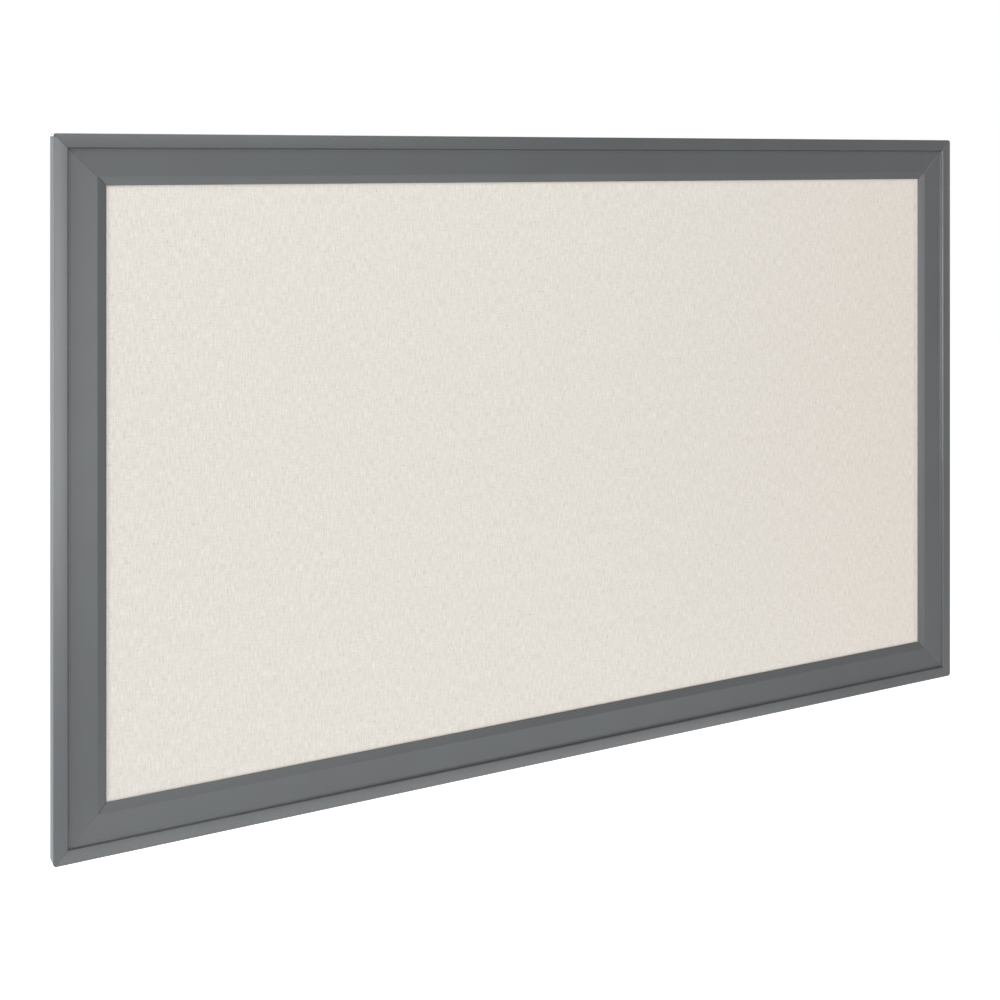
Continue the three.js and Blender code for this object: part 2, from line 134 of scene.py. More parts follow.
def surface(name, points, uv=None, close_columns=False, caps=False):
    """A mesh from a grid of points, shape (rows, columns, 3): each cell of the grid is one face.

    close_columns joins the last column to the first, and caps closes the first and last rows with a face.
    uv has one more column than points where the columns are closed.
    """
    rows, columns = points.shape[:2]
    across = np.arange(columns if close_columns else columns - 1)
    r, c = np.meshgrid(np.arange(rows - 1), across, indexing="ij")
    c_next = (c + 1) % columns
    here, above = r * columns, (r + 1) * columns
    faces = np.stack([here + c, here + c_next, above + c_next, above + c], -1).reshape(-1, 4).tolist()
    if caps:
        faces += [list(range(columns))[::-1], list(range((rows - 1) * columns, rows * columns))]
    mesh = bpy.data.meshes.new(name)
    mesh.from_pydata(points.reshape(-1, 3).tolist(), [], faces)
    if uv is not None:
        corners = np.stack([uv[r, c], uv[r, c + 1], uv[r + 1, c + 1], uv[r + 1, c]], -2).reshape(-1, 2)
        if caps:
            corners = np.concatenate([corners, uv[0, :columns][::-1], uv[-1, :columns]])
        layer = mesh.uv_layers.new(name="UVMap")
        layer.data.foreach_set("uv", corners.astype(np.float32).ravel())
    return mesh


def smooth(mesh, sharp_degrees=30):
    """Shades the mesh smooth, with creases only where faces meet at more than sharp_degrees."""
    mesh.shade_smooth()
    mesh.set_sharp_from_angle(angle=math.radians(sharp_degrees))


def face_outwards(mesh):
    """Turns the faces of a closed mesh outwards."""
    bm = bmesh.new()
    bm.from_mesh(mesh)
    bmesh.ops.recalc_face_normals(bm, faces=bm.faces)
    bm.to_mesh(mesh)
    bm.free()


def add_piece(name, mesh, materials, body, replaced):
    """Links the mesh as a piece that rides on a body and stands for a node of the solids."""
    piece = bpy.data.objects.new(name, mesh)
    bpy.context.scene.collection.objects.link(piece)
    for material in materials:
        mesh.materials.append(material)
    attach(piece, body)
    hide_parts(replaced)
    return piece


def rounded(corners, steps=6):
    """A closed outline from corners (x, y, radius). A corner with a radius becomes a quadratic curve that
    leaves each of its sides at that distance, or half of a side that is shorter."""
    corners = [np.array(corner, float) for corner in corners]
    outline = []
    for i, (x, y, radius) in enumerate(corners):
        corner = np.array([x, y])
        ends = []
        for other in (corners[i - 1][:2], corners[(i + 1) % len(corners)][:2]):
            side = other - corner
            length = np.linalg.norm(side)
            ends.append(corner + side / length * min(radius, length / 2))
        if radius == 0:
            outline.append(corner)
            continue
        t = np.linspace(0, 1, steps + 1)[:, None]
        outline.extend((1 - t) ** 2 * ends[0] + 2 * t * (1 - t) * corner + t ** 2 * ends[1])
    return np.array(outline)


def arc(centre, radius, start, end, steps):
    """Points of a circular arc in equal steps, shape (steps + 1, 2)."""
    angle = np.linspace(start, end, steps + 1)
    return np.array(centre) + radius * np.stack([np.cos(angle), np.sin(angle)], -1)


def turned(name, profile, centre, sides=48):
    """A solid of revolution: the profile's points (radius, height) turned about the Y axis through centre."""
    angle = np.arange(sides) * 2 * math.pi / sides
    radius, height = np.array(profile).T
    x = centre[0] + radius[:, None] * np.cos(angle)
    z = centre[2] + radius[:, None] * np.sin(angle)
    y = centre[1] + np.repeat(height[:, None], sides, axis=1)
    mesh = surface(name, np.stack([x, y, z], -1), close_columns=True, caps=True)
    face_outwards(mesh)
    smooth(mesh)
    return mesh


# Colours and nodes

CONTRAST = {"From Min": 0.3, "From Max": 0.7}  # spreads out a noise, whose values crowd round a half


def linear(code):
    """An sRGB hex colour as linear RGBA."""
    value = np.array([int(code[i:i + 2], 16) for i in (1, 3, 5)]) / 255
    value = np.where(value <= 0.04045, value / 12.92, ((value + 0.055) / 1.055) ** 2.4)
    return (*value.tolist(), 1.0)


def node(tree, kind, inputs=(), **settings):
    """Adds a shader node with its settings and returns it. inputs pairs a socket's name or number with its
    value or with what feeds it: an output, or a node, which stands for the first of its outputs in use."""
    made = tree.nodes.new(f"ShaderNode{kind}")
    for key, value in settings.items():
        setattr(made, key, value)
    for socket, value in dict(inputs).items():
        if isinstance(value, bpy.types.Node):
            value = next(output for output in value.outputs if output.enabled)
        if isinstance(value, bpy.types.NodeSocket):
            tree.links.new(value, made.inputs[socket])
        else:
            made.inputs[socket].default_value = value
    return made


def new_material(name):
    """An empty material, as (material, its node tree)."""
    material = bpy.data.materials.new(name)
    material.use_nodes = True
    material.node_tree.nodes.clear()
    return material, material.node_tree


def seen_directly(tree):
    """1 for what the camera sees, straight, in gloss or through glass, and 0 for light on other surfaces."""
    path = node(tree, "LightPath").outputs
    seen = node(tree, "Math", {0: path["Is Camera Ray"], 1: path["Is Glossy Ray"]}, operation="MAXIMUM")
    return node(tree, "Math", {0: seen, 1: path["Is Transmission Ray"]}, operation="MAXIMUM")


# Materials

def satin_paint():
    """Satin charcoal enamel, sprayed on a machined moulding that was sanded along its length. The sanding
    marks spread each highlight across the moulding and keep it narrow along it, so that the tone changes
    where two members meet."""
    material, tree = new_material("Satin grey enamel on sanded moulding")
    uv = node(tree, "UVMap", uv_map="UVMap")
    cloud = node(tree, "TexNoise", {"Vector": uv, "Scale": 1 / (60 * MM), "Detail": 3})
    sanded = node(tree, "Mapping", {"Vector": uv, "Scale": (1 / (45 * MM), 1 / (0.35 * MM), 1)})
    marks = node(tree, "TexNoise", {"Vector": sanded, "Scale": 1, "Detail": 3, "Roughness": 0.6})
    peel = node(tree, "TexNoise", {"Vector": uv, "Scale": 1 / (1.6 * MM), "Detail": 1})
    cloudy = node(tree, "MapRange", {"Value": cloud, **CONTRAST})
    colour = node(tree, "Mix", {0: cloudy, 6: linear("#3d3f41"), 7: linear("#404345")}, data_type="RGBA")
    roughness = node(tree, "MapRange", {"Value": marks, **CONTRAST, "To Min": 0.31, "To Max": 0.37})
    marked = node(tree, "Math", {0: marks, 1: 0.5}, operation="MULTIPLY")
    peeled = node(tree, "Math", {0: peel, 1: 0.5}, operation="MULTIPLY")
    height = node(tree, "Math", {0: marked, 1: peeled}, operation="ADD")
    bump = node(tree, "Bump", {"Strength": 0.15, "Distance": 0.03 * MM, "Height": height})
    tangent = node(tree, "Tangent", direction_type="UV_MAP", uv_map="UVMap")
    shader = node(tree, "BsdfPrincipled", {
        "Base Color": colour, "Roughness": roughness, "Normal": bump, "IOR": 1.59,
        "Anisotropic": 0.8, "Anisotropic Rotation": 0.25, "Tangent": tangent,
    })
    node(tree, "OutputMaterial", {"Surface": shader})
    return material


def raw_wood():
    """Unpainted ayous, planed: pale straw with fine pores drawn out along the moulding."""
    material, tree = new_material("Planed ayous, unpainted")
    uv = node(tree, "UVMap", uv_map="UVMap")
    broad = node(tree, "Mapping", {"Vector": uv, "Scale": (1 / (220 * MM), 1 / (5 * MM), 1)})
    bands = node(tree, "TexNoise", {"Vector": broad, "Scale": 1, "Detail": 4, "Distortion": 0.4})
    fine = node(tree, "Mapping", {"Vector": uv, "Scale": (1 / (7 * MM), 1 / (0.35 * MM), 1)})
    pores = node(tree, "TexNoise", {"Vector": fine, "Scale": 1, "Detail": 2})
    banded = node(tree, "MapRange", {"Value": bands, "From Min": 0.35, "From Max": 0.65})
    grain = node(tree, "Mix", {0: banded, 6: linear("#cdae82"), 7: linear("#dcc39a")}, data_type="RGBA")
    dotted = node(tree, "MapRange", {"Value": pores, "From Min": 0.52, "From Max": 0.68, "To Max": 0.45})
    colour = node(tree, "Mix", {0: dotted, 6: grain, 7: linear("#a98457")}, data_type="RGBA")
    bump = node(tree, "Bump", {"Strength": 0.3, "Distance": 0.08 * MM, "Height": pores})
    shader = node(tree, "BsdfPrincipled", {"Base Color": colour, "Roughness": 0.72, "Normal": bump})
    node(tree, "OutputMaterial", {"Surface": shader})
    return material


def natural_linen():
    """Natural linen in plain weave, washed and stretched. Flax thread is uneven, so the cloth has long pale
    and dark slubs, mostly upright, and small darker flecks.

    The weave of crossing threads is drawn at its own pitch. The tone that differs from thread to thread would
    be too fine to show at that pitch, so it is drawn coarser, in bundles 1.3 mm wide.
    """
    material, tree = new_material("Natural linen, plain weave")
    uv = node(tree, "UVMap", uv_map="UVMap")
    pitch = 0.8 * MM
    wander = node(tree, "TexNoise", {"Vector": uv, "Scale": 1 / (25 * MM), "Detail": 1})
    stray = node(tree, "Math", {0: wander, 1: 0.5 * MM}, operation="MULTIPLY")
    aside = node(tree, "CombineXYZ", {0: stray})
    nudged = node(tree, "VectorMath", {0: uv, 1: aside}, operation="ADD")
    across, up = node(tree, "SeparateXYZ", {0: nudged}).outputs[:2]
    warp_turn = node(tree, "Math", {0: across, 1: math.pi / pitch}, operation="MULTIPLY")
    weft_turn = node(tree, "Math", {0: up, 1: math.pi / pitch}, operation="MULTIPLY")
    warp = node(tree, "Math", {0: warp_turn}, operation="SINE")
    weft = node(tree, "Math", {0: weft_turn}, operation="SINE")
    weave = node(tree, "Math", {0: warp, 1: weft}, operation="MULTIPLY")

    # Noises by the width and height of their cells: bundles that run up, and across, then slubs and flecks
    bundle = 1.3 * MM
    noises = []
    for width, height in ((bundle, 10 * MM), (8 * MM, bundle), (2.2 * MM, 30 * MM), (1.2 * MM, 5 * MM)):
        cells = node(tree, "Mapping", {"Vector": uv, "Scale": (1 / width, 1 / height, 1)})
        noises.append(node(tree, "TexNoise", {"Vector": cells, "Scale": 1, "Detail": 2}))
    upright, level, slub, fleck = noises
    cloud = node(tree, "TexNoise", {"Vector": uv, "Scale": 1 / (18 * MM), "Detail": 3})
    thread = node(tree, "Math", {0: upright, 1: 0.55}, operation="MULTIPLY")
    for part, share in ((level, 0.35), (slub, 0.1), (weave, 0.06)):
        added = node(tree, "Math", {0: part, 1: share}, operation="MULTIPLY")
        thread = node(tree, "Math", {0: thread, 1: added}, operation="ADD")

    toned = node(tree, "MapRange", {"Value": thread, **CONTRAST})
    tone = node(tree, "Mix", {0: toned, 6: linear("#bbb5ac"), 7: linear("#d5d1cb")}, data_type="RGBA")
    cloudy = node(tree, "MapRange", {"Value": cloud, **CONTRAST, "To Max": 0.25})
    tone = node(tree, "Mix", {0: cloudy, 6: tone, 7: linear("#c5bfb6")}, data_type="RGBA")
    flecked = node(tree, "MapRange", {"Value": fleck, "From Min": 0.65, "From Max": 0.76, "To Max": 0.6})
    colour = node(tree, "Mix", {0: flecked, 6: tone, 7: linear("#8d816f")}, data_type="RGBA")
    woven = node(tree, "Math", {0: weave, 1: 0.25}, operation="MULTIPLY")
    height = node(tree, "Math", {0: thread, 1: woven}, operation="ADD")
    bump = node(tree, "Bump", {"Strength": 0.5, "Distance": 0.15 * MM, "Height": height})
    shader = node(tree, "BsdfPrincipled", {
        "Base Color": colour, "Roughness": 0.95, "Normal": bump,
        "Specular IOR Level": 0.2, "Sheen Weight": 0.1,
    })
    node(tree, "OutputMaterial", {"Surface": shader})
    return material


def fibreboard():
    """Low density fibreboard: felted wood fibre, tan and quite matt."""
    material, tree = new_material("Low density fibreboard")
    place = node(tree, "TexCoord").outputs["Object"]
    fibre = node(tree, "TexNoise", {"Vector": place, "Scale": 1 / (2 * MM), "Detail": 4, "Distortion": 1.5})
    toned = node(tree, "MapRange", {"Value": fibre, **CONTRAST})
    colour = node(tree, "Mix", {0: toned, 6: linear("#8f7450"), 7: linear("#b5976d")}, data_type="RGBA")
    bump = node(tree, "Bump", {"Strength": 0.5, "Distance": 0.3 * MM, "Height": fibre})
    shader = node(tree, "BsdfPrincipled", {"Base Color": colour, "Roughness": 0.95, "Normal": bump})
    node(tree, "OutputMaterial", {"Surface": shader})
    return material


def hardboard():
    """Pressed hardboard, seen on its screen side: brown, with the wire screen's fine grid pressed into it,
    and painted shade darkening the grid's hollows.
    """
    material, tree = new_material("Pressed hardboard, screen side")
    place = node(tree, "TexCoord").outputs["Object"]
    turns = 2 * math.pi / (1.6 * MM)
    axes = node(tree, "SeparateXYZ", {0: place}).outputs
    across_turn = node(tree, "Math", {0: axes["X"], 1: turns}, operation="MULTIPLY")
    up_turn = node(tree, "Math", {0: axes["Z"], 1: turns}, operation="MULTIPLY")
    across = node(tree, "Math", {0: across_turn}, operation="SINE")
    up = node(tree, "Math", {0: up_turn}, operation="SINE")
    grid = node(tree, "Math", {0: across, 1: up}, operation="MULTIPLY")
    fibre = node(tree, "TexNoise", {
        "Vector": place, "Scale": 1 / (4 * MM), "Detail": 5, "Roughness": 0.65, "Distortion": 1,
    })
    cloud = node(tree, "TexNoise", {"Vector": place, "Scale": 1 / (120 * MM), "Detail": 3})
    toned = node(tree, "MapRange", {"Value": fibre, **CONTRAST})
    tone = node(tree, "Mix", {0: toned, 6: linear("#6f4f34"), 7: linear("#8a6747")}, data_type="RGBA")
    cloudy = node(tree, "MapRange", {"Value": cloud, "From Min": 0.35, "From Max": 0.65, "To Max": 0.35})
    tone = node(tree, "Mix", {0: cloudy, 6: tone, 7: linear("#7c5534")}, data_type="RGBA")
    # Painted shade: where the grid's relief is lowest, in the pressed hollows, the tone is drawn up to 18%
    # darker.
    painted_hollow_shade = node(tree, "MapRange", {"Value": grid, "From Min": -1, "To Min": 0.18, "To Max": 0})
    colour = node(tree, "Mix", {0: painted_hollow_shade, 6: tone, 7: linear("#4c331f")}, data_type="RGBA")
    relief = node(tree, "Math", {0: grid, 1: 0.3}, operation="MULTIPLY")
    height = node(tree, "Math", {0: relief, 1: fibre}, operation="ADD")
    bump = node(tree, "Bump", {"Strength": 0.5, "Distance": 0.2 * MM, "Height": height})
    shader = node(tree, "BsdfPrincipled", {"Base Color": colour, "Roughness": 0.8, "Normal": bump})
    node(tree, "OutputMaterial", {"Surface": shader})
    return material


def metal(name, code, roughness, mottle):
    """Plated or plain steel: a flat metal tone, with the roughness uneven from handling."""
    material, tree = new_material(name)
    place = node(tree, "TexCoord").outputs["Object"]
    patch = node(tree, "TexNoise", {"Vector": place, "Scale": 1 / (3 * MM), "Detail": 3})
    rough = node(tree, "MapRange", {
        "Value": patch, **CONTRAST, "To Min": roughness - mottle, "To Max": roughness + mottle,
    })
    bump = node(tree, "Bump", {"Strength": 0.1, "Distance": 0.03 * MM, "Height": patch})
    shader = node(tree, "BsdfPrincipled", {
        "Base Color": linear(code), "Metallic": 1.0, "Roughness": rough, "Normal": bump,
    })
    node(tree, "OutputMaterial", {"Surface": shader})
    return material


def black_rubber():
    """Moulded rubber: near black and matt, with a fine moulded grain."""
    material, tree = new_material("Moulded rubber")
    place = node(tree, "TexCoord").outputs["Object"]
    grain = node(tree, "TexNoise", {"Vector": place, "Scale": 1 / (0.5 * MM), "Detail": 2})
    toned = node(tree, "MapRange", {"Value": grain, **CONTRAST})
    colour = node(tree, "Mix", {0: toned, 6: linear("#242527"), 7: linear("#303134")}, data_type="RGBA")
    bump = node(tree, "Bump", {"Strength": 0.3, "Distance": 0.05 * MM, "Height": grain})
    shader = node(tree, "BsdfPrincipled", {"Base Color": colour, "Roughness": 0.75, "Normal": bump})
    node(tree, "OutputMaterial", {"Surface": shader})
    return material


# Frame

def moulding_section():
    """The moulding's outline as points (inset, drop), from the back of its outer face over the front. The
    band's crown falls away by the square of the distance from its shoulder."""
    shoulder = BAND - BAND_SLOPE
    crest = [(share * shoulder, BAND_FALL * (1 - share) ** 2, 0) for share in np.linspace(0.1, 0.88, 17)]
    fillet = BAND + QUIRK
    flat = fillet + FILLET + FILLET_SLOPE
    back = DEPTH - BACK_SHRINK
    return rounded([
        (0, back, 0.8 * MM),
        (0, BAND_FALL, 0.4 * MM),
        *crest,
        (shoulder, 0, 1.2 * MM),
        (BAND, QUIRK_DROP, 0.3 * MM),
        (fillet, QUIRK_DROP, 0.3 * MM),
        (fillet, FILLET_DROP, 0.25 * MM),
        (fillet + FILLET, FILLET_DROP, 0.3 * MM),
        (flat, FLAT_DROP, 0.2 * MM),
        (SIGHT - BEVEL, FLAT_DROP, 0.6 * MM),
        (SIGHT, FLAT_DROP + BEVEL_DROP, 0.3 * MM),
        (SIGHT, FLAT_DROP + BEVEL_DROP + LIP, 0.2 * MM),
        (SIGHT - REBATE, FLAT_DROP + BEVEL_DROP + LIP, 0),
        (SIGHT - REBATE, back, 0.8 * MM),
    ])


def member_mesh(name, origin, along, inward, half, start):
    """A length of moulding: the section carried along a side of the board, past the rounded outer corner to
    the mitre.

    A point at inset e and distance s from the mitre lies at half - max(e, R) - (s - a) along the side, where
    the corner's arc of radius R - e is a long. Within that arc it turns towards the mitre. Next to the mitre
    it eases back, as a filled and sanded joint does.
    """
    section = moulding_section()
    inset, drop = section.T
    edge = np.roll(section, -1, axis=0) - np.roll(section, 1, axis=0)
    normal = np.stack([-edge[:, 1], edge[:, 0]], -1) / np.linalg.norm(edge, axis=1)[:, None]
    from_mitre = np.array([0, 0.1, 0.22, 0.38, 0.6, 0.9, 1.3, 1.8, 2.5, 3.8, 6]) * MM
    radius = np.maximum(CORNER_RADIUS - inset, 0)
    bend = radius * math.pi / 4
    rows = []
    for s in from_mitre:
        ease = MITRE_DEPTH * max(0, 1 - s / MITRE_EASE) ** 2
        e, d = inset + normal[:, 0] * ease, drop + normal[:, 1] * ease
        angle = np.where(s < bend, math.pi / 4 - s / np.maximum(radius, 1e-9), 0)
        x = half - np.maximum(inset, CORNER_RADIUS) - np.maximum(s - bend, 0) + radius * np.sin(angle)
        e = e + (CORNER_RADIUS - radius * np.cos(angle) - inset) * (inset < CORNER_RADIUS)
        rows.append(np.stack([x, e, d], -1))
    right_end = np.array(rows)
    left_end = right_end[::-1] * (-1, 1, 1)
    share = np.linspace(0, 1, 26)[1:-1, None, None]
    span = right_end[-1] * (1 - share) + left_end[0] * share
    local = np.concatenate([right_end, span, left_end])
    axes = np.array([along, inward, (0, 1, 0)], float)
    points = np.array(origin) + local @ axes
    length = np.concatenate([[0], np.cumsum(np.linalg.norm(np.diff(section, axis=0), axis=1))])
    length = np.append(length, length[-1] + np.linalg.norm(section[0] - section[-1]))
    x = np.concatenate([local[:, :, 0], local[:, :1, 0]], axis=1)
    uv = np.stack([x + start, np.broadcast_to(length, x.shape)], -1)
    mesh = surface(name, points, uv, close_columns=True, caps=True)
    past_paint = inset > PAINT_TURN
    raw = past_paint & (drop > FLAT_DROP + BEVEL_DROP + LIP / 2)
    raw_face = raw & np.roll(raw, -1) | past_paint & (drop > DEPTH - 0.2 * MM)
    slots = np.concatenate([np.tile(raw_face, local.shape[0] - 1), [True, True]]).astype(np.int32)
    mesh.polygons.foreach_set("material_index", slots)
    face_outwards(mesh)
    smooth(mesh)
    return mesh


def make_frame(paint, wood):
    """The four members. Each starts its paint and grain at another place, so that no two look alike."""
    half_width, half_height = (RIGHT - LEFT) / 2, (TOP - BOTTOM) / 2
    right, up = np.array([1, 0, 0]), np.array([0, 0, 1])
    sides = {
        "top_rail": ((MIDDLE, FRONT, TOP), right, -up, half_width),
        "right_stile": ((RIGHT, FRONT, MID_HEIGHT), -up, -right, half_height),
        "bottom_rail": ((MIDDLE, FRONT, BOTTOM), -right, up, half_width),
        "left_stile": ((LEFT, FRONT, MID_HEIGHT), up, right, half_height),
    }
    for i, (name, (origin, along, inward, half)) in enumerate(sides.items()):
        mesh = member_mesh(f"{name}_moulding", origin, along, inward, half, start=1.7 * (i + 1))
        add_piece(f"{name}_moulding", mesh, [paint, wood], "board", name)


# Linen

def cloth_height(x, z):
    """How far the cloth stands off its margin: it swells smoothly from the sight edge to its full height,
    with the faint waves of a hand-stretched cloth, about 270 mm long across it and 370 mm long up it."""
    full = LINEN_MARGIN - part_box("linen_cover")[0].y
    inside = np.minimum(np.minimum(x - LEFT, RIGHT - x), np.minimum(z - BOTTOM, TOP - z)) - SIGHT
    t = np.clip(inside / SWELL_REACH, 0, 1)
    wave = np.sin(x * 23 + 1.3 * np.sin(z * 9)) * np.sin(z * 17 + 0.8 * np.sin(x * 7))
    return full * (t * t * (3 - 2 * t)) + SWELL_WAVE * (wave - 1) * t


def graded(low, high, edge, fine, coarse):
    """Places from low to high: fine steps within edge of each end, and coarse ones between."""
    count = int(round(edge / fine))
    near = np.linspace(0, edge, count + 1)
    middle = np.linspace(low + edge, high - edge, int((high - low - 2 * edge) / coarse) + 2)[1:-1]
    return np.concatenate([low + near, middle, high - near[::-1]])


def make_linen(material):
    """The cloth: a field on a grid, whose border is then carried round the panel's edge and in behind it.
    Each further ring is the same border, scaled to a rectangle that is larger or smaller by the profile's
    step."""
    low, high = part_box("linen_cover")
    middle = (low + high) / 2
    half = np.array([high.x - low.x, high.z - low.z]) / 2
    swelling = SIGHT + SWELL_REACH + 2 * MM - (low.x - LEFT)
    x = graded(low.x + LINEN_EDGE, high.x - LINEN_EDGE, swelling, FINE_STEP, BROAD_STEP)
    z = graded(low.z + LINEN_EDGE, high.z - LINEN_EDGE, swelling, FINE_STEP, BROAD_STEP)
    xx, zz = np.meshgrid(x, z)
    field = np.stack([xx, LINEN_MARGIN - cloth_height(xx, zz), zz], -1)
    rows, columns = xx.shape
    index = np.arange(rows * columns).reshape(rows, columns)
    border = np.concatenate([index[0, :-1], index[:-1, -1], index[-1, :0:-1], index[:0:-1, 0]])
    unit = (field.reshape(-1, 3)[border][:, [0, 2]] - (middle.x, middle.z)) / (half - LINEN_EDGE)

    bend = arc((-LINEN_EDGE, LINEN_EDGE), LINEN_EDGE, -math.pi / 2, 0, 4)[1:]
    depth = high.y - LINEN_MARGIN
    turn = arc((-LINEN_EDGE, depth - LINEN_EDGE), LINEN_EDGE, 0, math.pi / 2, 4)
    path = np.concatenate([[(-LINEN_EDGE, 0)], bend, turn, [(-LINEN_TURN, depth)]])
    reach = np.cumsum(np.linalg.norm(np.diff(path, axis=0), axis=1))
    rings = []
    for out, back in path[1:]:
        ring_x, ring_z = (unit * (half + out) + (middle.x, middle.z)).T
        rings.append(np.stack([ring_x, np.full(len(unit), LINEN_MARGIN + back), ring_z], -1))
    flat = [np.array([middle.x, middle.z]) + unit * (half - LINEN_EDGE + far) for far in reach]

    points = np.concatenate([field.reshape(-1, 3)] + rings)
    cloth_uv = np.concatenate([np.stack([xx, zz], -1).reshape(-1, 2)] + flat)
    quads = np.stack([index[:-1, :-1], index[:-1, 1:], index[1:, 1:], index[1:, :-1]], -1).reshape(-1, 4)
    first = rows * columns
    loops = [border] + [first + i * len(border) + np.arange(len(border)) for i in range(len(rings))]
    skirt = [np.stack([a, b, np.roll(b, -1), np.roll(a, -1)], -1) for a, b in zip(loops, loops[1:])]
    faces = np.concatenate([quads] + skirt)
    mesh = bpy.data.meshes.new("linen_cloth")
    mesh.from_pydata(points.tolist(), [], faces.tolist())
    layer = mesh.uv_layers.new(name="UVMap")
    layer.data.foreach_set("uv", cloth_uv[faces.ravel()].astype(np.float32).ravel())
    smooth(mesh, 60)
    piece = add_piece("linen_cloth", mesh, [material], "board", "linen_cover")
    thick = piece.modifiers.new("Cloth thickness", "SOLIDIFY")
    thick.thickness = LINEN_THICKNESS
    thick.offset = -1


# Hangers and bumpers

def placed(local, hinge, turned_down):
    """Hanger points, from (along the hinge, off the frame's back, along the strap) to the board's axes. The
    strap runs down the stiles, and on the rails it is turned to run right."""
    x, y, z = np.moveaxis(local, -1, 0)
    if turned_down:
        x, z = -z, x
    return np.stack([hinge[0] + x, BACK + y, hinge[2] + z], -1)


def strap_path(stand, end):
    """The middle of the strap's thickness as points (off the back, along the strap): up the lower leaf, round
    the ring's leg, through a reverse bend and down the upper leaf."""
    reach = LOOP + STRAP_BEND
    leave = math.asin((UPPER_LEAF - stand + STRAP_BEND) / reach)
    bend = (stand + reach * math.sin(leave), -reach * math.cos(leave))
    tail = -end + STRAP_WIDTH / 2 * (1 - np.cos(np.linspace(0.25, math.pi / 2, 10)))
    leaf = np.append(tail, -LEAF_START)
    lower = np.stack([np.full(len(leaf), stand - LOOP), leaf], -1)
    round_leg = arc((stand, 0), LOOP, math.pi, -math.pi / 2 + leave, 28)
    reverse = arc(bend, STRAP_BEND, math.pi / 2 + leave, math.pi, 6)[1:]
    upper = np.stack([np.full(len(leaf), UPPER_LEAF), leaf[::-1]], -1)
    return np.concatenate([lower, round_leg, reverse, upper])


def strap_mesh(name, hinge, stand, end, turned_down):
    """A folded steel strip: its path, and across it a row of points out to half its width, which closes in a
    half circle at the tail."""
    path = strap_path(stand, end)
    radius = STRAP_WIDTH / 2
    past = np.clip(-end + radius - path[:, 1], 0, radius * 0.999)
    half = np.sqrt(radius ** 2 - past ** 2)
    across = np.linspace(-1, 1, 9)
    local = np.empty((len(path), len(across), 3))
    local[:, :, 0] = half[:, None] * across
    local[:, :, 1] = path[:, :1]
    local[:, :, 2] = path[:, 1:]
    mesh = surface(name, placed(local, hinge, turned_down))
    smooth(mesh)
    return mesh


def ring_mesh(name, hinge, stand, rest, turned_down):
    """The D-ring: a round wire carried along a D, from the middle of its straight leg round the bow and back.
    At each point the wire's section stands square to the path in the ring's plane."""
    corner = RING_HALF_WIDTH - RING_CORNER
    bow = -RING_CORNER - RING_SIDE
    quarter = math.pi / 2
    leg = np.linspace(RING_JOINT / 2, corner, 5)[:-1]
    right_half = np.concatenate([
        np.stack([leg, np.zeros_like(leg)], -1),
        arc((corner, -RING_CORNER), RING_CORNER, quarter, 0, 8),
        arc((0, bow), RING_HALF_WIDTH, 0, -quarter, 22),
    ])
    path = np.concatenate([right_half, right_half[-2::-1] * (-1, 1)])
    ahead = np.gradient(path, axis=0)
    ahead /= np.linalg.norm(ahead, axis=1)[:, None]
    side = np.stack([-ahead[:, 1], ahead[:, 0]], -1)
    sides = 16
    angle = np.arange(sides) * 2 * math.pi / sides
    flat = path[:, None] + WIRE * np.cos(angle)[None, :, None] * side[:, None]
    up = np.broadcast_to(WIRE * np.sin(angle), flat.shape[:2])
    y = stand + up * math.cos(rest) - flat[..., 1] * math.sin(rest)
    z = flat[..., 1] * math.cos(rest) + up * math.sin(rest)
    local = np.stack([flat[..., 0], y, z], -1)
    mesh = surface(name, placed(local, hinge, turned_down), close_columns=True, caps=True)
    face_outwards(mesh)
    smooth(mesh, 50)
    return mesh


def screw_mesh(name, low, high):
    """A pan-head screw on Y: a profile turned about the axis, with an elliptical dome for its head and a
    cone-ended rod for its shank. The crossed recess sinks the dome by how near a point lies to either bar of
    the cross. Its walls slope over 0.25 mm, and its ends over 0.4 mm."""
    centre = (low + high) / 2
    head = (high.x - low.x) / 2
    foot = high.y - HEAD_RIM - HEAD_DOME
    sides = 64
    angle = np.arange(sides) * 2 * math.pi / sides
    radius = np.concatenate([np.linspace(0.02, 0.96, 22), [1, 1]]) * head
    dome = HEAD_RIM + HEAD_DOME * np.sqrt(np.clip(1 - (radius / head) ** 2, 0, 1))
    dome[-1] = 0
    tip = (PINHOLE, -SHANK_LENGTH - POINT_LENGTH)
    shank = np.array([(SHANK_RADIUS, 0), (SHANK_RADIUS, -SHANK_LENGTH), tip])
    radius = np.append(radius, shank[:, 0])
    height = np.append(dome, shank[:, 1])
    x, z = radius[:, None] * np.cos(angle), radius[:, None] * np.sin(angle)
    bar = np.minimum(np.abs(x), np.abs(z))
    reach = np.maximum(np.abs(x), np.abs(z))
    sink = np.clip((RECESS_BAR - bar) / (0.25 * MM), 0, 1)
    sink = sink * np.clip((RECESS_REACH - reach) / (0.4 * MM), 0, 1)
    sink[-len(shank):] = 0
    y = foot + height[:, None] - RECESS_DEPTH * sink
    mesh = surface(name, np.stack([centre.x + x, y, centre.z + z], -1), close_columns=True, caps=True)
    face_outwards(mesh)
    smooth(mesh, 40)
    return mesh


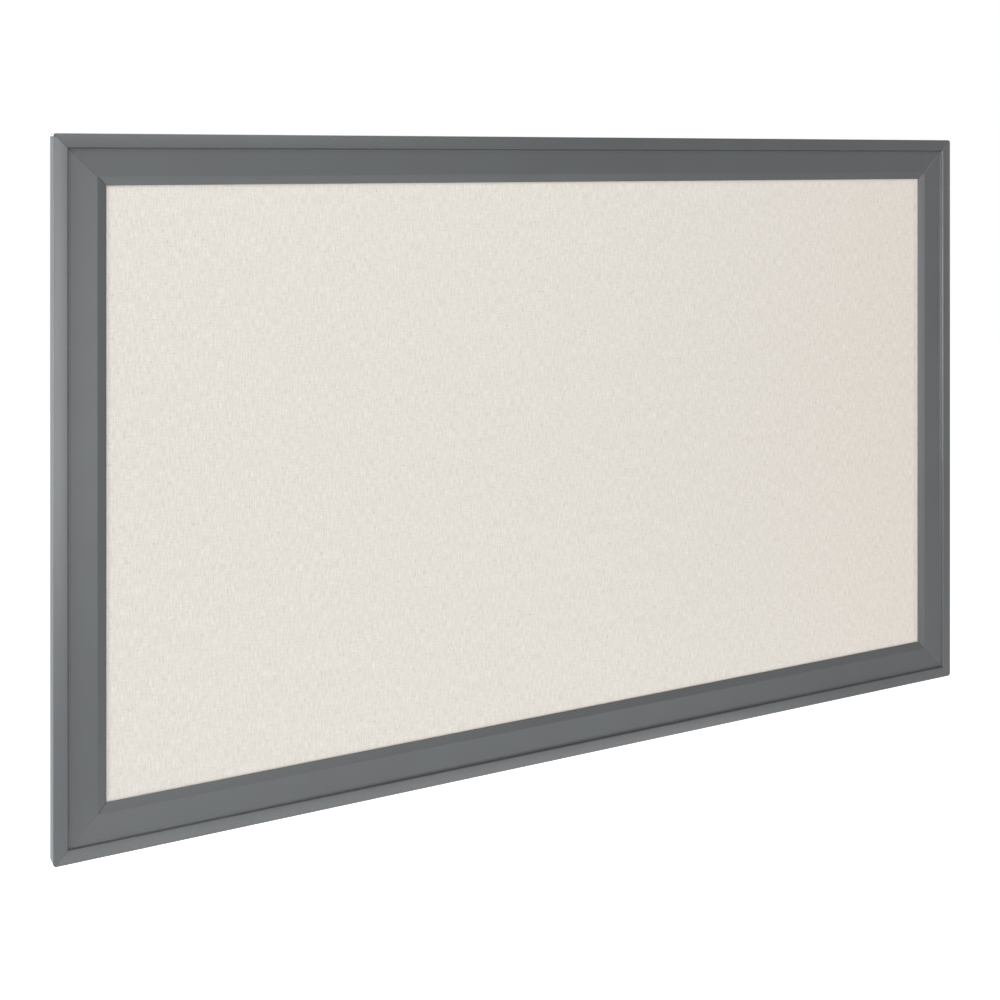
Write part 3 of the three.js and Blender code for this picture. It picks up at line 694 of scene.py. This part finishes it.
def make_hangers(steel):
    """A strap, ring and screw at each hinge. At rest the ring lies over the strap's upper leaf: the sine of
    its tilt is the rise from its hinge to there, over its reach from the hinge to the end of its bow."""
    for joint in frame["joints"]:
        name = joint["name"].removesuffix("_swing")
        hinge = Vector(joint["pos_m"])
        stand = hinge.y - BACK
        turned_down = abs(joint["axis"][2]) > 0.5
        strap_low, strap_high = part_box(f"{name}_strap")
        end = strap_high.x - hinge.x if turned_down else hinge.z - strap_low.z
        mesh = strap_mesh(f"{name}_folded_strap", hinge, stand, end, turned_down)
        strap = add_piece(f"{name}_folded_strap", mesh, [steel], "board", f"{name}_strap")
        thick = strap.modifiers.new("Strip thickness", "SOLIDIFY")
        thick.thickness = STRAP_THICKNESS
        thick.offset = 0
        eased = strap.modifiers.new("Eased edges", "BEVEL")
        eased.width = 0.15 * MM
        eased.segments = 2
        rise = UPPER_LEAF + STRAP_THICKNESS / 2 + PLAY + WIRE - stand
        rest = math.asin(rise / (RING_CORNER + RING_SIDE + RING_HALF_WIDTH))
        mesh = ring_mesh(f"{name}_wire_ring", hinge, stand, rest, turned_down)
        add_piece(f"{name}_wire_ring", mesh, [steel], joint["child"], f"{name}_ring")
        mesh = screw_mesh(f"{name}_pan_screw", *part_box(f"{name}_screw"))
        add_piece(f"{name}_pan_screw", mesh, [steel], "board", f"{name}_screw")


def make_bumpers(rubber):
    """Domed bumpers: an eased foot, a side that tapers and a rounded rim, turned about the Y axis."""
    for corner in ("top_left", "top_right", "bottom_left", "bottom_right"):
        low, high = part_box(f"bumper_{corner}")
        centre = (low + high) / 2
        foot = (high.x - low.x) / 2
        height = high.y - BACK
        rim = (foot - BUMPER_TAPER - BUMPER_ROUND, height - BUMPER_ROUND)
        profile = [
            (PINHOLE, 0), (foot - BUMPER_EASE, 0), (foot, BUMPER_EASE),
            *arc(rim, BUMPER_ROUND, 0, math.pi / 2, 6), (PINHOLE, height),
        ]
        mesh = turned(f"bumper_{corner}_dome", profile, (centre.x, BACK, centre.z))
        add_piece(f"bumper_{corner}_dome", mesh, [rubber], "board", f"bumper_{corner}")


def dress_nodes(finishes):
    """Gives the solids that stay in view, or lie hidden inside, the finish of the start of their name."""
    for name, solid in frame["nodes"].items():
        for start, material in finishes.items():
            if name.startswith(start):
                solid.data.materials.clear()
                solid.data.materials.append(material)


# Studio

def make_floor():
    """A plain pale floor well below the hanging board. It glows just enough for the camera, and in gloss, to
    come out white, and still shows the board's shadow. Where the lamps reach it less, it glows more."""
    material, tree = new_material("White studio floor")
    matt = node(tree, "BsdfDiffuse", {"Color": linear("#ededed")})
    place = node(tree, "TexCoord").outputs["Object"]
    far = node(tree, "VectorMath", {0: place}, operation="LENGTH").outputs["Value"]
    fading = {"From Min": 2, "From Max": 6, "To Min": 0.72, "To Max": 0.95}
    needed = node(tree, "MapRange", {"Value": far, **fading})
    strength = node(tree, "Math", {0: seen_directly(tree), 1: needed}, operation="MULTIPLY")
    glow = node(tree, "Emission", {"Strength": strength})
    both = node(tree, "AddShader", {0: matt, 1: glow})
    node(tree, "OutputMaterial", {"Surface": both})
    reach, level = 9, BOTTOM - 1
    x, y = np.meshgrid([-reach, reach], [-reach, reach])
    mesh = surface("studio_floor", np.stack([x, y, np.full(x.shape, level)], -1))
    floor = bpy.data.objects.new("studio_floor", mesh)
    bpy.context.scene.collection.objects.link(floor)
    mesh.materials.append(material)


def make_world():
    """A white surround as the camera and gloss see it, and a soft even fill on everything else."""
    world = bpy.data.worlds.new("Studio")
    bpy.context.scene.world = world
    world.use_nodes = True
    tree = world.node_tree
    tree.nodes.clear()
    strength = node(tree, "MapRange", {"Value": seen_directly(tree), "To Min": 0.1})
    sky = node(tree, "Background", {"Color": (1, 1, 1, 1), "Strength": strength})
    node(tree, "OutputWorld", {"Surface": sky})


def softbox(name, place, aim, width, height, power, tint=(1, 1, 1), mirrored=True):
    """A rectangular diffuse lamp that faces a point. One that isn't mirrored lights matt surfaces only."""
    lamp = bpy.data.lights.new(name, "AREA")
    lamp.shape = "RECTANGLE"
    lamp.size, lamp.size_y, lamp.energy = width, height, power
    lamp.color = tint
    holder = bpy.data.objects.new(name, lamp)
    bpy.context.scene.collection.objects.link(holder)
    holder.location = place
    holder.rotation_euler = (Vector(aim) - Vector(place)).to_track_quat("-Z", "Y").to_euler()
    holder.visible_glossy = mirrored


def make_lights():
    """Large soft lamps round the board, the strongest on its left, where two have the blue of window light.
    The small warm one tints the linen near the right side."""
    centre = (MIDDLE, FRONT, MID_HEIGHT)
    right_side = (RIGHT, FRONT, MID_HEIGHT)
    window = (0.88, 0.95, 1)
    warm = (1, 0.5, 0.2)
    softbox("Main softbox", (-1.17, -4.38, -0.52), centre, 1.1, 1.9, 75)
    softbox("Front fill", (0.6, -4.0, 1.3), centre, 2.4, 0.8, 14)
    softbox("Side softbox", (-4.35, -1.2, -0.5), centre, 1.1, 1.1, 120, window)
    softbox("Top softbox", (-0.2, -1.3, 1.9), centre, 1.6, 1.0, 34)
    softbox("Low reflector", (0.3, -1.0, -1.45), centre, 1.6, 0.5, 9.2)
    softbox("Edge softbox", (-2.5, 0.4, -0.15), (LEFT, BACK, MID_HEIGHT), 1.2, 1.6, 52, window)
    softbox("Back softbox", (-1.5, 3.2, 1.0), centre, 1.4, 1.0, 40)
    softbox("Right softbox", (4.4, 0.5, 0.3), centre, 1.2, 1.6, 40)
    softbox("Warm reflector", (1.0, -0.6, -0.2), right_side, 0.5, 0.9, 0.6, warm, mirrored=False)


def make_camera():
    """A level camera left of the board and near its top edge, turned right. The lens is shifted down to keep
    the uprights parallel."""
    data = bpy.data.cameras.new("Camera")
    camera = bpy.data.objects.new("Camera", data)
    bpy.context.scene.collection.objects.link(camera)
    camera.location = (MIDDLE - 0.804, FRONT - 1.484, BOTTOM + 0.656)
    camera.rotation_euler = (math.radians(90), 0, math.radians(-29.09))
    data.sensor_width = 36
    data.lens = 55.38
    data.shift_x = -0.09
    data.shift_y = -0.3409
    bpy.context.scene.camera = camera


make_camera()
make_floor()
make_world()
make_lights()

make_frame(satin_paint(), raw_wood())
make_linen(natural_linen())
# Zinc plating is the palest of the three metals, strip steel is a plain mid grey, and blued nails are darker
make_hangers(metal("Zinc plated steel", "#c6c9cc", 0.32, 0.08))
make_bumpers(black_rubber())
dress_nodes({
    "tack_core": fibreboard(),
    "backing_board": hardboard(),
    "v_nail": metal("Blued spring steel", "#8b8e92", 0.38, 0.06),
    "flex_point": metal("Bright strip steel", "#a5a8ab", 0.35, 0.06),
})

scene = bpy.context.scene
scene.view_settings.view_transform = "Standard"
